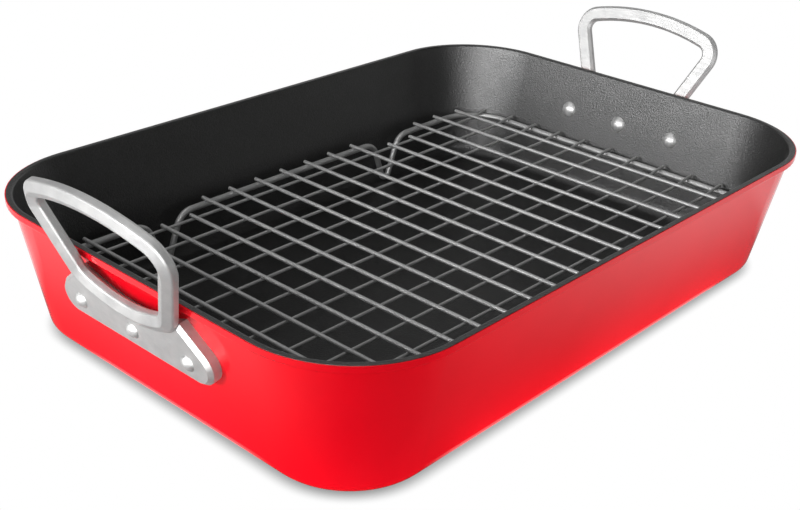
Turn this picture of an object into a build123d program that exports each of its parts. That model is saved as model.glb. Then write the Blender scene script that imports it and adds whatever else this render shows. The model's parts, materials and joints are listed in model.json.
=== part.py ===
# Roasting pan with a lift-out wire rack: a pressed steel tub with a rolled rim and a black
# lining, a cast bail handle on three rivets at each end, and a welded rack on four bent feet.
# X runs along the pan through both handles, Y runs across it, and Z goes up from the table.
# The origin is the centre of the pan's underside, and all sizes are in millimetres.
from build123d import *
import os
from math import acos, asin, atan2, cos, degrees, hypot, radians, sin, sqrt, tan

# Pan body
pan_length = 406.0
pan_width = 286.0
pan_height = 77.5
rim_corner_radius = 60.0
wall_flare = 14.8
steel_thickness = 1.0
lining_thickness = 0.3
floor_bend_radius = 9.0

# Rolled rim
rim_reach = 2.6
rim_depth = 3.9
rim_roll_radius = 1.9
rim_under_radius = 1.2
rim_lip_radius = 1.0
rim_slit = 1.2
lining_end_gap = 0.6

# Handle plate
rivet_height = 49.5
rivet_pitch = 40.0
plate_length = 111.0
plate_height = 20.0
plate_thickness = 6.5
plate_bevel = 2.0

# Handle bail, measured on its centre line
bail_lean = 17.0
bail_stand_off = 6.3
bail_root_rise = 11.5
bail_root_width = 65.5
bail_root_sag = 8.0
bail_root_bend = 11.0
bail_shoulder_width = 103.5
bail_shoulder_height = 51.0
bail_shoulder_bend = 10.0
bail_height = 60.0
bail_breadth = 9.6
bail_depth = 7.0
bail_crown = 2.4
bail_ridge_radius = 1.0
bail_edge_radius = 1.6
bail_bevel = 1.5

# Rivets
rivet_shank_radius = 2.5
rivet_inner_head_radius = 5.1
rivet_inner_head_height = 2.6
rivet_outer_head_radius = 4.3
rivet_outer_head_height = 2.5

# Rack
rack_top_height = 35.0
rack_end_clearance = 3.9
rack_side_clearance = 9.9
rack_foot_clearance = 0.3
frame_wire_diameter = 3.8
frame_corner_ease = 17.3
cross_wire_diameter = 2.3
cross_wire_count = 17
cross_end_gap = 17.7
cross_overhang = 0.8
long_wire_diameter = 1.8
long_wire_count = 11
long_side_gap = 13.9
long_overhang = 1.2
long_rise_bend = 10.0
weld_gap = 0.05

# Rack feet, each bent into the frame between two cross wires
foot_cell_count = 4.5
foot_half_angle = 19.5
foot_tip_radius = 3.6
foot_shoulder_radius = 12.0

# Sizes worked out for the pan
draft = atan2(wall_flare, pan_height)
base_length = pan_length - 2 * (rim_reach + wall_flare)
base_width = pan_width - 2 * (rim_reach + wall_flare)
base_corner_radius = rim_corner_radius - rim_reach - wall_flare
skin = steel_thickness + lining_thickness
wall_top = pan_height - rim_depth

# Sizes worked out for the rack
cross_height = rack_top_height - cross_wire_diameter / 2
long_height = rack_top_height - cross_wire_diameter - weld_gap - long_wire_diameter / 2
frame_height = rack_top_height - cross_wire_diameter - weld_gap - frame_wire_diameter / 2
frame_radius = frame_wire_diameter / 2
long_end_height = frame_height + frame_wire_diameter / 2 + weld_gap + long_wire_diameter / 2


def wall_at(height, inset=0.0):
    """Outward place of the wall's outer face, moved in by an inset, from its line at the rim's top."""
    return (height - pan_height) * tan(draft) - inset / cos(draft)


def inside_half(size, height):
    """Half the pan's inside length or width at a height, from its outside size."""
    return size / 2 - rim_reach + wall_at(height, skin)


def tub(inset):
    """Solid that fills the pan below its rim, inside the outer face moved in by an inset."""
    side = inset / cos(draft) - inset * tan(draft)
    with BuildPart() as form:
        with BuildSketch(Plane.XY.offset(inset)):
            RectangleRounded(
                base_length - 2 * side, base_width - 2 * side, base_corner_radius - side
            )
        extrude(amount=wall_top - inset, taper=-degrees(draft))
        fillet(form.edges().group_by(Axis.Z)[0], floor_bend_radius - inset)
    return form.part


# The rim's line runs round the pan where the wall's outer face would meet the rim's top.
rim_along = pan_length / 2 - rim_reach
rim_across = pan_width / 2 - rim_reach
rim_bend = rim_corner_radius - rim_reach
with BuildLine(Plane.XY.offset(pan_height)) as rim_line:
    FilletPolyline(
        (0, -rim_across),
        (-rim_along, -rim_across),
        (-rim_along, rim_across),
        (rim_along, rim_across),
        (rim_along, -rim_across),
        radius=[0, rim_bend, rim_bend, rim_bend, rim_bend],
        close=True,
    )
rim_path = rim_line.wires()[0]

# Sections of the rim have x outward and y up, with their origin on the rim's line.
rim_plane = Plane(
    origin=rim_path @ 0,
    x_dir=Vector(0, 0, 1).cross(rim_path % 0),
    z_dir=rim_path % 0,
)


def rim_outline(grow):
    """Filled section of the rolled rim, grown by the thickness of what covers it."""
    inset = steel_thickness + grow
    with BuildSketch() as section:
        with BuildLine():
            Polyline(
                (wall_at(wall_top, inset), -rim_depth),
                (wall_at(pan_height + grow, inset), grow),
                (rim_reach + grow, grow),
                (rim_reach + grow, -rim_depth),
                close=True,
            )
        make_face()
        corners = section.vertices().group_by(Axis.Y)[-1].sort_by(Axis.X)
        fillet(corners[0], rim_lip_radius + grow)
        fillet(corners[-1], rim_roll_radius + grow)
        under = section.vertices().group_by(Axis.Y)[0].sort_by(Axis.X)
        fillet(under[-1], rim_under_radius)
    return section.sketch


def end_wall(side):
    """Plane on the outer face of an end wall at the rivets' height: x across, y up the wall."""
    return Plane(
        origin=(side * (base_length / 2 + rivet_height * tan(draft)), 0, rivet_height),
        x_dir=(0, side, 0),
        z_dir=(side * cos(draft), 0, -sin(draft)),
    )


sides = {"left": -1, "right": 1}
rivet_places = [(-rivet_pitch, 0), (0, 0), (rivet_pitch, 0)]

# Bores for the rivets' shanks, from inside the pan to the outer face of each handle plate.
with BuildPart() as rivet_bores:
    for side in sides.values():
        with BuildSketch(end_wall(side).offset(-2 * skin)):
            with Locations(*rivet_places):
                Circle(rivet_shank_radius)
        extrude(amount=2 * skin + 2 * plate_thickness)

steel_form = tub(0)
lining_form = tub(steel_thickness)
open_form = tub(skin)
steel_rim = rim_outline(0)
lined_rim = rim_outline(lining_thickness)

with BuildPart() as pan_shell:
    add(steel_form)
    add(lining_form, mode=Mode.SUBTRACT)
    with BuildSketch(rim_plane):
        add(steel_rim)
        with BuildLine():
            Polyline(
                (wall_at(wall_top), -rim_depth),
                (wall_at(pan_height - steel_thickness), -steel_thickness),
                (rim_reach - steel_thickness, -steel_thickness),
                (rim_reach - steel_thickness, steel_thickness - rim_depth),
                (wall_at(wall_top) + rim_slit, steel_thickness - rim_depth),
                (wall_at(wall_top) + rim_slit, -rim_depth),
                close=True,
            )
        make_face(mode=Mode.SUBTRACT)
    sweep(path=rim_path)
    add(rivet_bores.part, mode=Mode.SUBTRACT)

with BuildPart() as nonstick_lining:
    add(lining_form)
    add(open_form, mode=Mode.SUBTRACT)
    with BuildSketch(rim_plane):
        add(lined_rim)
        with Locations((rim_reach - lining_end_gap, 0)):
            Rectangle(
                rim_reach + lining_end_gap,
                2 * rim_depth,
                align=(Align.MIN, Align.CENTER),
                mode=Mode.SUBTRACT,
            )
        with Locations((0, -rim_depth / 2)):
            Rectangle(2 * rim_reach, rim_depth, align=(Align.MIN, Align.MAX), mode=Mode.SUBTRACT)
        add(steel_rim, mode=Mode.SUBTRACT)
    sweep(path=rim_path)
    add(rivet_bores.part, mode=Mode.SUBTRACT)


def bail_plane(side):
    """Plane of a bail: its origin is the middle of the bail's root, x across and y up the bail."""
    lean = radians(bail_lean)
    return Plane(
        origin=end_wall(side).from_local_coords((0, bail_root_rise, bail_stand_off)),
        x_dir=(0, side, 0),
        z_dir=(side * cos(lean), 0, -sin(lean)),
    )


def bail_path(side):
    """Closed centre line of a bail: sagging root, spreading legs and arched grip."""
    root = bail_root_width / 2
    shoulder = bail_shoulder_width / 2
    with BuildSketch(bail_plane(side)) as outline:
        with BuildLine():
            lower = ThreePointArc((-root, bail_root_sag), (0, 0), (root, bail_root_sag))
            upper = ThreePointArc(
                (shoulder, bail_shoulder_height), (0, bail_height), (-shoulder, bail_shoulder_height)
            )
            Line(lower @ 1, upper @ 0)
            Line(upper @ 1, lower @ 0)
        make_face()
        fillet(outline.vertices().sort_by(Axis.Y)[-2:], bail_shoulder_bend)
        fillet(outline.vertices().sort_by(Axis.Y)[:2], bail_root_bend)
    return outline.sketch.face().outer_wire()


def bail_section(path, side):
    """Section of a bail at the start of its path: flat back with bevels and a ridged front."""
    breadth = bail_breadth / 2
    depth = bail_depth / 2
    plane = Plane(origin=path @ 0, x_dir=bail_plane(side).z_dir, z_dir=path % 0)
    with BuildSketch(plane) as section:
        with BuildLine():
            Polyline(
                (depth, 0),
                (depth - bail_crown, -breadth),
                (-depth, -breadth),
                (-depth, breadth),
                (depth - bail_crown, breadth),
                close=True,
            )
        make_face()
        fillet(section.vertices().group_by(Axis.X)[-2], bail_edge_radius)
        fillet(section.vertices().group_by(Axis.X)[-1], bail_ridge_radius)
        chamfer(section.vertices().group_by(Axis.X)[0], bail_bevel)
    return section.sketch


def plate_outline(wall):
    """Outline of a rivet plate: round ends, and shoulders that slope up to the bail's root."""
    end_radius = plate_height / 2
    end_place = plate_length / 2 - end_radius
    root = bail_root_width / 2 + bail_breadth / 2
    rise = bail_root_rise + bail_root_sag
    slope_turn = atan2(rise, root - end_place) - acos(end_radius / hypot(rise, root - end_place))
    slope_place = end_place + end_radius * cos(slope_turn)
    slope_foot = end_radius * sin(slope_turn)
    with BuildSketch(wall) as outline:
        SlotOverall(plate_length, plate_height)
        with BuildLine():
            ThreePointArc((-root, rise), (0, bail_root_rise), (root, rise))
            Polyline(
                (root, rise),
                (slope_place, slope_foot),
                (end_place, 0),
                (-end_place, 0),
                (-slope_place, slope_foot),
                (-root, rise),
            )
        make_face()
    return outline.sketch


def build_handle(side):
    """One cast handle: a bevelled rivet plate with the bail standing out from it."""
    wall = end_wall(side)
    path = bail_path(side)
    section = bail_section(path, side)
    outline = plate_outline(wall)
    with BuildPart() as handle:
        extrude(outline, amount=plate_thickness)
        front = handle.faces().sort_by(Axis(wall.origin, wall.z_dir))[-1]
        chamfer(front.edges(), plate_bevel)
        sweep(sections=section, path=path)
        add(rivet_bores.part, mode=Mode.SUBTRACT)
    return handle.part


def head_arc(radius, height, seat):
    """Arc of a domed rivet head from its rim at the seat to its crown, height away along y."""
    ball = (radius**2 + height**2) / (2 * abs(height))
    half = asin(radius / ball) / 2
    way = 1 if height > 0 else -1
    middle = (ball * sin(half), seat + height - way * ball * (1 - cos(half)))
    return ThreePointArc((radius, seat), middle, (0, seat + height))


def build_rivet(side, place):
    """One rivet, turned about the end wall's normal, with a domed head at each end."""
    wall = end_wall(side)
    foot = wall.from_local_coords(place)
    with BuildPart() as rivet:
        with BuildSketch(Plane(origin=foot, x_dir=wall.x_dir, z_dir=wall.x_dir.cross(wall.z_dir))):
            with BuildLine():
                inner = head_arc(rivet_inner_head_radius, -rivet_inner_head_height, -skin)
                outer = head_arc(rivet_outer_head_radius, rivet_outer_head_height, plate_thickness)
                Polyline(
                    inner @ 0,
                    (rivet_shank_radius, -skin),
                    (rivet_shank_radius, plate_thickness),
                    outer @ 0,
                )
                Line(outer @ 1, inner @ 1)
            make_face()
        revolve(axis=Axis(foot, wall.z_dir))
    return rivet.part


# The frame's centre line stands in from the lining by the wire's radius and a clearance, and
# its corners are rounded to a smaller radius than the pan's inside has at the same height.
frame_corner_radius = rim_bend + wall_at(frame_height, skin) - frame_corner_ease
frame_along = inside_half(pan_length, frame_height) - rack_end_clearance - frame_radius
frame_across = inside_half(pan_width, frame_height) - rack_side_clearance - frame_radius
cross_reach = frame_along - cross_end_gap
cross_pitch = 2 * cross_reach / (cross_wire_count - 1)
long_reach = frame_across - long_side_gap
long_pitch = 2 * long_reach / (long_wire_count - 1)

# A foot's two legs would meet at a point below its rounded tip.
foot_place = foot_cell_count * cross_pitch
foot_angle = radians(foot_half_angle)
foot_low = skin + rack_foot_clearance + frame_radius
foot_point = foot_low + foot_tip_radius - foot_tip_radius / sin(foot_angle)
foot_spread = (frame_height - foot_point) * tan(foot_angle)


def frame_side(way):
    """Corners of one long side of the frame, taken along X in the direction of way."""
    across = -way * frame_across
    corners = [(-way * frame_along, across, frame_height)]
    for place in (-way * foot_place, way * foot_place):
        corners.append((place - way * foot_spread, across, frame_height))
        corners.append((place, across, foot_point))
        corners.append((place + way * foot_spread, across, frame_height))
    corners.append((way * frame_along, across, frame_height))
    return corners


def frame_reach(offset, along, across):
    """Distance from the rack's middle to the frame, at an offset towards one of its corners."""
    past = abs(offset) - (across - frame_corner_radius)
    if past <= 0:
        return along
    return along - frame_corner_radius + sqrt(frame_corner_radius**2 - past**2)


foot_bends = [foot_shoulder_radius, foot_tip_radius, foot_shoulder_radius]
side_bends = [frame_corner_radius, *foot_bends, *foot_bends, frame_corner_radius]
with BuildPart() as rack_frame:
    with BuildLine() as frame_line:
        FilletPolyline(*frame_side(1), *frame_side(-1), radius=side_bends + side_bends, close=True)
    frame_path = frame_line.wires()[0]
    with BuildSketch(Plane(origin=frame_path @ 0, z_dir=frame_path % 0)):
        Circle(frame_radius)
    sweep(path=frame_path)


def build_cross_wire(place):
    """One wire across the rack: full length on the frame, or short where a foot dips away."""
    if abs(abs(place) - foot_place) < cross_pitch:
        half = long_reach + long_wire_diameter / 2 + cross_overhang
    else:
        half = frame_reach(place, frame_across, frame_along) + frame_radius + cross_overhang
    with BuildPart() as wire:
        with BuildSketch(Plane.XZ):
            with Locations((place, cross_height)):
                Circle(cross_wire_diameter / 2)
        extrude(amount=half, both=True)
    return wire.part


def build_long_wire(place):
    """One wire along the rack: under the cross wires, with its ends raised over the frame."""
    seat = frame_reach(place, frame_along, frame_across)
    rise = cross_reach + cross_wire_diameter
    half_run = [
        (seat + frame_radius + long_overhang, long_end_height),
        (seat - frame_radius, long_end_height),
        (rise, long_height),
    ]
    far_run = [(-along, height) for along, height in half_run]
    with BuildPart() as wire:
        with BuildLine(Plane.XZ.offset(-place)) as line:
            FilletPolyline(*half_run, *reversed(far_run), radius=long_rise_bend)
        path = line.wires()[0]
        with BuildSketch(Plane(origin=path @ 0, z_dir=path % 0)):
            Circle(long_wire_diameter / 2)
        sweep(path=path)
    return wire.part


os.makedirs("parts", exist_ok=True)


def save(part, name):
    """Label a finished piece and write it under its name."""
    part.label = name
    export_step(part, f"parts/{name}.step")


save(pan_shell.part, "pan_shell")
save(nonstick_lining.part, "nonstick_lining")
for name, side in sides.items():
    save(build_handle(side), f"{name}_handle")
    for number, place in enumerate(rivet_places, start=1):
        save(build_rivet(side, place), f"{name}_handle_rivet_{number}")
save(rack_frame.part, "rack_frame")
for number in range(cross_wire_count):
    save(build_cross_wire(number * cross_pitch - cross_reach), f"rack_cross_wire_{number + 1:02d}")
for number in range(long_wire_count):
    save(build_long_wire(number * long_pitch - long_reach), f"rack_long_wire_{number + 1:02d}")
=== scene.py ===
# Roasting pan with a lift-out wire rack, dressed around its fixed frame.
# All sizes are in metres, in the frame's own axes: X along the pan, Y across it, Z up.
import json
from math import cos, radians, sin

import bpy
from mathutils import Matrix, Vector


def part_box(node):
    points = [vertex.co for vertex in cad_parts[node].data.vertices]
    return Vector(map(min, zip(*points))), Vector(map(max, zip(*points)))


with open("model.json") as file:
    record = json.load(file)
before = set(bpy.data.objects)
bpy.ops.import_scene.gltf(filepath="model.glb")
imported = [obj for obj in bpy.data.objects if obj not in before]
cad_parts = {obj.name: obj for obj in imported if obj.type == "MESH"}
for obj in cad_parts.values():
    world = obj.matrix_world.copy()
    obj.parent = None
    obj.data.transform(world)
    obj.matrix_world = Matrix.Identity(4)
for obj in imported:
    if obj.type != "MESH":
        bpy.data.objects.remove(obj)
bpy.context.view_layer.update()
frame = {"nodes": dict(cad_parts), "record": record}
nodes = frame["nodes"]

MM = 0.001

# Camera, as the photograph was taken
image_width = 800
focal_pixels = 1247.0
sensor_width = 36.0
camera_azimuth = -48.2
camera_elevation = 26.45
camera_roll = 2.24
camera_distance = 759.65 * MM
camera_target = Vector((17.67, 33.27, 0.0)) * MM

# Floor as the camera sees it: white, with a narrow shadow at the pan's foot
floor_size = 6.0
floor_gap = 0.3 * MM
floor_tone = 0.82
contact_reach = 8.0 * MM
contact_shade = 0.32
contact_span = (0.0, 0.9)

# The floor as gloss sees it, a painted reflection: painted shade close to the pan and before its
# near corner, pale further away, and a painted glint line at the foot
foot_inset = 17.4 * MM
gloss_centre = (-200.0 * MM, -260.0 * MM, 0.0)
gloss_dark_reach = 90.0 * MM
gloss_pale_reach = 420.0 * MM
gloss_dark = 0.05
gloss_pale = 0.85
foot_dark_share = 0.2
foot_dark_reach = 60.0 * MM
glint_strength = 0.55
glint_reaches = (1.5 * MM, 4.0 * MM)

# The floor as soft light sees it: it lights the straight walls from below, and the corners less
glow_reach = 50.0 * MM
glow_strength = 1.7
corner_glow_share = 0.35
corner_reaches = (-80.0 * MM, -45.0 * MM)

# World, as a plain sky for soft light and a backdrop behind the pan for gloss
sky_light = 0.4
backdrop_way = (0.94, 0.34, 0.0)
backdrop_turns = (0.55, 0.9)
backdrop_bright = 0.8
front_dark = 0.1
backdrop_top_heights = (0.28, 0.55)
top_dark_share = 0.08

# Lamps: place, aim, width and height, and power in watts
lamp_aim = (0.0, 0.0, 40.0 * MM)
left_lamp_place = (-1.65, 0.6, 0.45)
left_lamp_size = (0.8, 0.8)
left_lamp_power = 27.0
front_lamp_place = (1.2, -2.2, 0.4)
front_lamp_size = (0.8, 0.8)
front_lamp_power = 20.0
card_place = (-1.6, -0.75, 0.5)
card_size = (1.8, 0.9)
card_power = 62.0
top_lamp_place = (-0.4, 0.5, 1.9)
top_lamp_size = (1.4, 1.4)
top_lamp_power = 10.0

# Noise patterns: scale as features to the metre, and the span of values that ramps work over
noise_roughness = 0.5
noise_stretch = (1.0, 1.0, 1.0)
noise_span = (0.3, 0.7)

# Red enamel
enamel_cloud = {"scale": 14.0, "detail": 3.0}
enamel_peel = {"scale": 420.0, "detail": 1.0}
enamel_colours = ((0.80, 0.0022, 0.011), (0.88, 0.0032, 0.014))
enamel_roughness = (0.05, 0.09)
enamel_index = 1.5
enamel_bump = 0.015 * MM

# Black non-stick lining
lining_grain = {"scale": 1000.0, "detail": 2.0, "roughness": 0.7}
lining_mottle = {"scale": 90.0, "detail": 3.0}
lining_grain_span = (0.35, 0.75)
lining_colours = ((0.003, 0.003, 0.003), (0.022, 0.022, 0.021))
lining_roughness = (0.37, 0.43)
lining_index = 1.8
lining_mottle_share = 0.2
lining_bump = 0.25 * MM

# Cast metal of the handles
cast_grain = {"scale": 2200.0, "detail": 2.0, "roughness": 0.6}
cast_brushing = {"scale": 700.0, "detail": 3.0, "roughness": 0.6, "stretch": (1.0, 0.12, 1.0)}
cast_cloud = {"scale": 120.0, "detail": 3.0}
cast_colours = ((0.40, 0.40, 0.40), (0.48, 0.48, 0.475))
cast_metal_share = 0.55
cast_roughness = (0.44, 0.56)
cast_grain_share = 0.6
cast_cloud_share = 1.5
cast_bump = 0.05 * MM

# Rivets
rivet_dents = {"scale": 500.0, "detail": 2.0}
rivet_colours = ((0.47, 0.47, 0.47), (0.57, 0.57, 0.565))
rivet_metal_share = 0.65
rivet_roughness = (0.42, 0.52)
rivet_bump = 0.12 * MM

# Plated wire of the rack
wire_marks = {"scale": 900.0, "detail": 2.0}
wire_cloud = {"scale": 60.0, "detail": 2.0}
wire_colours = ((0.42, 0.42, 0.42), (0.50, 0.50, 0.495))
wire_metal_share = 0.6
wire_roughness = (0.44, 0.56)
wire_bump = 0.02 * MM


def clean_material(name):
    """New node material, with its node tree and its principled shader."""
    material = bpy.data.materials.new(name)
    material.use_nodes = True
    tree = material.node_tree
    shader = tree.nodes["Principled BSDF"]
    return material, tree, shader


def add_noise(tree, scale, detail, roughness=noise_roughness, stretch=noise_stretch):
    """Noise pattern in the piece's own coordinates."""
    place = tree.nodes.new("ShaderNodeTexCoord")
    mapping = tree.nodes.new("ShaderNodeMapping")
    mapping.inputs["Scale"].default_value = stretch
    noise = tree.nodes.new("ShaderNodeTexNoise")
    noise.inputs["Scale"].default_value = scale
    noise.inputs["Detail"].default_value = detail
    noise.inputs["Roughness"].default_value = roughness
    tree.links.new(place.outputs["Object"], mapping.inputs["Vector"])
    tree.links.new(mapping.outputs["Vector"], noise.inputs["Vector"])
    return noise.outputs["Fac"]


def add_ramp(tree, value, colours, span=noise_span):
    """Colour ramp over a span of a value, from the first of two colours to the second."""
    ramp = tree.nodes.new("ShaderNodeValToRGB")
    for element, place, colour in zip(ramp.color_ramp.elements, span, colours):
        element.position = place
        element.color = (*colour, 1.0)
    tree.links.new(value, ramp.inputs["Fac"])
    return ramp.outputs["Color"]


def add_range(tree, value, low, high, source_low=noise_span[0], source_high=noise_span[1]):
    """A value mapped smoothly from its source range to low and high."""
    node = tree.nodes.new("ShaderNodeMapRange")
    node.interpolation_type = "SMOOTHSTEP"
    node.inputs["From Min"].default_value = source_low
    node.inputs["From Max"].default_value = source_high
    node.inputs["To Min"].default_value = low
    node.inputs["To Max"].default_value = high
    tree.links.new(value, node.inputs["Value"])
    return node.outputs["Result"]


def add_math(tree, operation, first, second):
    """Two values joined by a math node."""
    node = tree.nodes.new("ShaderNodeMath")
    node.operation = operation
    tree.links.new(first, node.inputs[0])
    tree.links.new(second, node.inputs[1])
    return node.outputs["Value"]


def add_sum(tree, terms):
    """Sum of (value, share) pairs."""
    total = None
    for value, share in terms:
        scaled = tree.nodes.new("ShaderNodeMath")
        scaled.operation = "MULTIPLY_ADD"
        scaled.inputs[1].default_value = share
        scaled.inputs[2].default_value = 0.0
        tree.links.new(value, scaled.inputs[0])
        if total is not None:
            tree.links.new(total, scaled.inputs[2])
        total = scaled.outputs["Value"]
    return total


def add_bump(tree, shader, heights, distance):
    """Bump on a shader from a sum of (height, share) pairs."""
    bump = tree.nodes.new("ShaderNodeBump")
    bump.inputs["Distance"].default_value = distance
    tree.links.new(add_sum(tree, heights), bump.inputs["Height"])
    tree.links.new(bump.outputs["Normal"], shader.inputs["Normal"])


def red_enamel():
    """Glossy red outside: near-even colour, faint orange peel and a clear hard gloss."""
    material, tree, shader = clean_material("red_enamel")
    cloud = add_noise(tree, **enamel_cloud)
    peel = add_noise(tree, **enamel_peel)
    tree.links.new(add_ramp(tree, cloud, enamel_colours), shader.inputs["Base Color"])
    tree.links.new(add_range(tree, cloud, *enamel_roughness), shader.inputs["Roughness"])
    shader.inputs["IOR"].default_value = enamel_index
    add_bump(tree, shader, [(peel, 1.0)], enamel_bump)
    return material


def nonstick_black():
    """Black non-stick lining: satin, with fine grains and a soft mottle."""
    material, tree, shader = clean_material("nonstick_black")
    grain = add_noise(tree, **lining_grain)
    mottle = add_noise(tree, **lining_mottle)
    colour = add_ramp(tree, grain, lining_colours, lining_grain_span)
    tree.links.new(colour, shader.inputs["Base Color"])
    tree.links.new(add_range(tree, mottle, *lining_roughness), shader.inputs["Roughness"])
    shader.inputs["IOR"].default_value = lining_index
    add_bump(tree, shader, [(grain, 1.0), (mottle, lining_mottle_share)], lining_bump)
    return material


def cast_steel():
    """Satin cast metal of the handles: pale, finely grained, a little uneven."""
    material, tree, shader = clean_material("cast_steel")
    grain = add_noise(tree, **cast_grain)
    brushing = add_noise(tree, **cast_brushing)
    cloud = add_noise(tree, **cast_cloud)
    heights = [(grain, cast_grain_share), (brushing, 1.0), (cloud, cast_cloud_share)]
    tree.links.new(add_ramp(tree, cloud, cast_colours), shader.inputs["Base Color"])
    shader.inputs["Metallic"].default_value = cast_metal_share
    tree.links.new(add_range(tree, brushing, *cast_roughness), shader.inputs["Roughness"])
    add_bump(tree, shader, heights, cast_bump)
    return material


def rivet_steel():
    """Rivets: brighter and smoother than the cast handles, with light hammer marks."""
    material, tree, shader = clean_material("rivet_steel")
    dents = add_noise(tree, **rivet_dents)
    tree.links.new(add_ramp(tree, dents, rivet_colours), shader.inputs["Base Color"])
    shader.inputs["Metallic"].default_value = rivet_metal_share
    tree.links.new(add_range(tree, dents, *rivet_roughness), shader.inputs["Roughness"])
    add_bump(tree, shader, [(dents, 1.0)], rivet_bump)
    return material


def rack_wire():
    """Plated rack wire: grey satin metal with faint drawing marks."""
    material, tree, shader = clean_material("rack_wire")
    marks = add_noise(tree, **wire_marks)
    cloud = add_noise(tree, **wire_cloud)
    tree.links.new(add_ramp(tree, cloud, wire_colours), shader.inputs["Base Color"])
    shader.inputs["Metallic"].default_value = wire_metal_share
    tree.links.new(add_range(tree, marks, *wire_roughness), shader.inputs["Roughness"])
    add_bump(tree, shader, [(marks, 1.0)], wire_bump)
    return material


def dress_nodes():
    """Give every node of the frame the material that its slot names."""
    made = {
        "red_enamel": red_enamel(),
        "nonstick_black": nonstick_black(),
        "cast_steel": cast_steel(),
        "rivet_steel": rivet_steel(),
        "rack_wire": rack_wire(),
    }
    for part in frame["record"]["subparts"]:
        node = nodes[part["node"]]
        node.data.materials.clear()
        node.data.materials.append(made[part["material_slot"]])


def add_foot_distances(tree):
    """Distances over the floor past the lines of the pan's foot: the larger, then the smaller."""
    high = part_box("pan_shell")[1]
    place = tree.nodes.new("ShaderNodeTexCoord")
    size = tree.nodes.new("ShaderNodeVectorMath")
    size.operation = "ABSOLUTE"
    past = tree.nodes.new("ShaderNodeVectorMath")
    past.operation = "SUBTRACT"
    past.inputs[1].default_value = (high[0] - foot_inset, high[1] - foot_inset, 0.0)
    parts = tree.nodes.new("ShaderNodeSeparateXYZ")
    tree.links.new(place.outputs["Object"], size.inputs[0])
    tree.links.new(size.outputs["Vector"], past.inputs[0])
    tree.links.new(past.outputs["Vector"], parts.inputs["Vector"])
    larger = add_math(tree, "MAXIMUM", parts.outputs["X"], parts.outputs["Y"])
    smaller = add_math(tree, "MINIMUM", parts.outputs["X"], parts.outputs["Y"])
    return larger, smaller


def floor_material():
    """Pale floor: white with a painted shadow at the foot to the camera, a painted reflection to
    gloss, and paint with a painted glow near the foot to light.
    """
    material = bpy.data.materials.new("pale_floor")
    material.use_nodes = True
    tree = material.node_tree
    tree.nodes.clear()
    out = tree.nodes.new("ShaderNodeOutputMaterial")
    paint = tree.nodes.new("ShaderNodeBsdfDiffuse")
    paint.inputs["Color"].default_value = (floor_tone, floor_tone, floor_tone, 1.0)

    nearby = tree.nodes.new("ShaderNodeAmbientOcclusion")
    nearby.inputs["Distance"].default_value = contact_reach
    white = tree.nodes.new("ShaderNodeEmission")
    openness = add_range(tree, nearby.outputs["AO"], contact_shade, 1.0, *contact_span)
    tree.links.new(openness, white.inputs["Strength"])

    place = tree.nodes.new("ShaderNodeTexCoord")
    away = tree.nodes.new("ShaderNodeVectorMath")
    away.operation = "DISTANCE"
    away.inputs[1].default_value = gloss_centre
    tree.links.new(place.outputs["Object"], away.inputs[0])
    # Painted reflection for gloss only: pale away from the pan, with painted shade before its near
    # corner and close to its foot
    card = tree.nodes.new("ShaderNodeEmission")
    reaches = (gloss_dark_reach, gloss_pale_reach)
    paleness = add_range(tree, away.outputs["Value"], gloss_dark, gloss_pale, *reaches)
    from_foot, from_corner = add_foot_distances(tree)
    close = add_range(tree, from_foot, foot_dark_share, 1.0, 0.0, foot_dark_reach)
    shaded = add_math(tree, "MULTIPLY", paleness, close)
    # Painted glint: a bright line in the reflection right at the pan's foot, fading out towards the
    # corners
    along_edge = add_range(tree, from_corner, glint_strength, 0.0, *corner_reaches)
    at_edge = add_range(tree, from_foot, 1.0, 0.0, *glint_reaches)
    glint = add_math(tree, "MULTIPLY", along_edge, at_edge)
    tree.links.new(add_math(tree, "MAXIMUM", shaded, glint), card.inputs["Strength"])

    # Painted glow: the floor gives off light near the pan's foot, strongest along the straight
    # walls, so their lower parts look lit from below
    glow = tree.nodes.new("ShaderNodeEmission")
    lit = tree.nodes.new("ShaderNodeAddShader")
    near_foot = add_range(tree, from_foot, glow_strength, 0.0, 0.0, glow_reach)
    near_wall = add_range(tree, from_corner, 1.0, corner_glow_share, *corner_reaches)
    tree.links.new(add_math(tree, "MULTIPLY", near_foot, near_wall), glow.inputs["Strength"])
    tree.links.new(paint.outputs["BSDF"], lit.inputs[0])
    tree.links.new(glow.outputs["Emission"], lit.inputs[1])

    path = tree.nodes.new("ShaderNodeLightPath")
    seen = tree.nodes.new("ShaderNodeMixShader")
    tree.links.new(path.outputs["Is Camera Ray"], seen.inputs[0])
    tree.links.new(lit.outputs["Shader"], seen.inputs[1])
    tree.links.new(white.outputs["Emission"], seen.inputs[2])
    mirrored = tree.nodes.new("ShaderNodeMixShader")
    tree.links.new(path.outputs["Is Glossy Ray"], mirrored.inputs[0])
    tree.links.new(seen.outputs["Shader"], mirrored.inputs[1])
    tree.links.new(card.outputs["Emission"], mirrored.inputs[2])
    tree.links.new(mirrored.outputs["Shader"], out.inputs["Surface"])
    return material


def build_floor():
    """Flat floor just under the pan."""
    half = floor_size / 2
    corners = [(-half, -half), (half, -half), (half, half), (-half, half)]
    mesh = bpy.data.meshes.new("floor")
    mesh.from_pydata([(x, y, -floor_gap) for x, y in corners], [], [(0, 1, 2, 3)])
    floor = bpy.data.objects.new("floor", mesh)
    bpy.context.scene.collection.objects.link(floor)
    floor.data.materials.append(floor_material())


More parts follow.
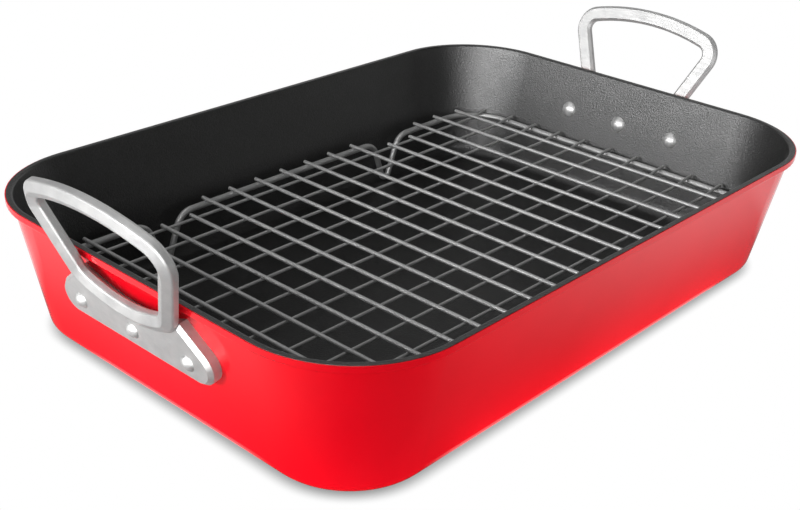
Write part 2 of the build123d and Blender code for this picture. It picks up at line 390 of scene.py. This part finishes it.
def build_world():
    """World: white to the camera, an even sky for light and a pale backdrop for gloss."""
    world = bpy.data.worlds.new("studio")
    bpy.context.scene.world = world
    world.use_nodes = True
    tree = world.node_tree
    tree.nodes.clear()
    out = tree.nodes.new("ShaderNodeOutputWorld")
    sky = tree.nodes.new("ShaderNodeBackground")
    sky.inputs["Color"].default_value = (1.0, 1.0, 1.0, 1.0)
    path = tree.nodes.new("ShaderNodeLightPath")

    way = tree.nodes.new("ShaderNodeTexCoord")
    behind = tree.nodes.new("ShaderNodeVectorMath")
    behind.operation = "DOT_PRODUCT"
    behind.inputs[1].default_value = backdrop_way
    tree.links.new(way.outputs["Generated"], behind.inputs[0])
    parts = tree.nodes.new("ShaderNodeSeparateXYZ")
    tree.links.new(way.outputs["Generated"], parts.inputs["Vector"])
    backdrop = add_range(tree, behind.outputs["Value"], front_dark, backdrop_bright, *backdrop_turns)
    height = add_range(tree, parts.outputs["Z"], 1.0, top_dark_share, *backdrop_top_heights)

    gloss = tree.nodes.new("ShaderNodeMix")
    gloss.inputs["A"].default_value = sky_light
    tree.links.new(add_math(tree, "MULTIPLY", backdrop, height), gloss.inputs["B"])
    tree.links.new(path.outputs["Is Glossy Ray"], gloss.inputs["Factor"])
    seen = tree.nodes.new("ShaderNodeMix")
    seen.inputs["B"].default_value = 1.0
    tree.links.new(gloss.outputs["Result"], seen.inputs["A"])
    tree.links.new(path.outputs["Is Camera Ray"], seen.inputs["Factor"])
    tree.links.new(seen.outputs["Result"], sky.inputs["Strength"])
    tree.links.new(sky.outputs["Background"], out.inputs["Surface"])


def add_light(name, place, size, power, shades=True, shines=True):
    """Soft lamp of a width and height at a place, turned towards the pan."""
    lamp = bpy.data.lights.new(name, "AREA")
    lamp.shape = "RECTANGLE"
    lamp.size, lamp.size_y = size
    lamp.energy = power
    light = bpy.data.objects.new(name, lamp)
    light.visible_diffuse = shades
    light.visible_glossy = shines
    light.location = place
    light.rotation_euler = (Vector(lamp_aim) - Vector(place)).to_track_quat("-Z", "Y").to_euler()
    bpy.context.scene.collection.objects.link(light)


def build_lights():
    """Lamps: a low one at the left, a matt fill in front, a card for gloss and one above."""
    add_light("left_lamp", left_lamp_place, left_lamp_size, left_lamp_power)
    add_light("front_lamp", front_lamp_place, front_lamp_size, front_lamp_power, shines=False)
    add_light("left_card", card_place, card_size, card_power, shades=False)
    add_light("top_lamp", top_lamp_place, top_lamp_size, top_lamp_power)


def build_camera():
    """Camera at the photograph's viewing angle."""
    azimuth = radians(camera_azimuth)
    elevation = radians(camera_elevation)
    roll = radians(camera_roll)
    back = Vector((sin(azimuth) * cos(elevation), -cos(azimuth) * cos(elevation), sin(elevation)))
    level = Vector((cos(azimuth), sin(azimuth), 0))
    upright = back.cross(level)
    right = level * cos(roll) + upright * sin(roll)
    up = upright * cos(roll) - level * sin(roll)
    data = bpy.data.cameras.new("camera")
    data.sensor_width = sensor_width
    data.lens = focal_pixels * sensor_width / image_width
    data.dof.use_dof = False
    camera = bpy.data.objects.new("camera", data)
    place = camera_target + back * camera_distance
    turn = Matrix((right, up, back)).transposed().to_4x4()
    camera.matrix_world = Matrix.Translation(place) @ turn
    bpy.context.scene.collection.objects.link(camera)
    bpy.context.scene.camera = camera


bpy.context.scene.view_settings.view_transform = "Standard"
build_camera()
build_world()
build_floor()
build_lights()
dress_nodes()
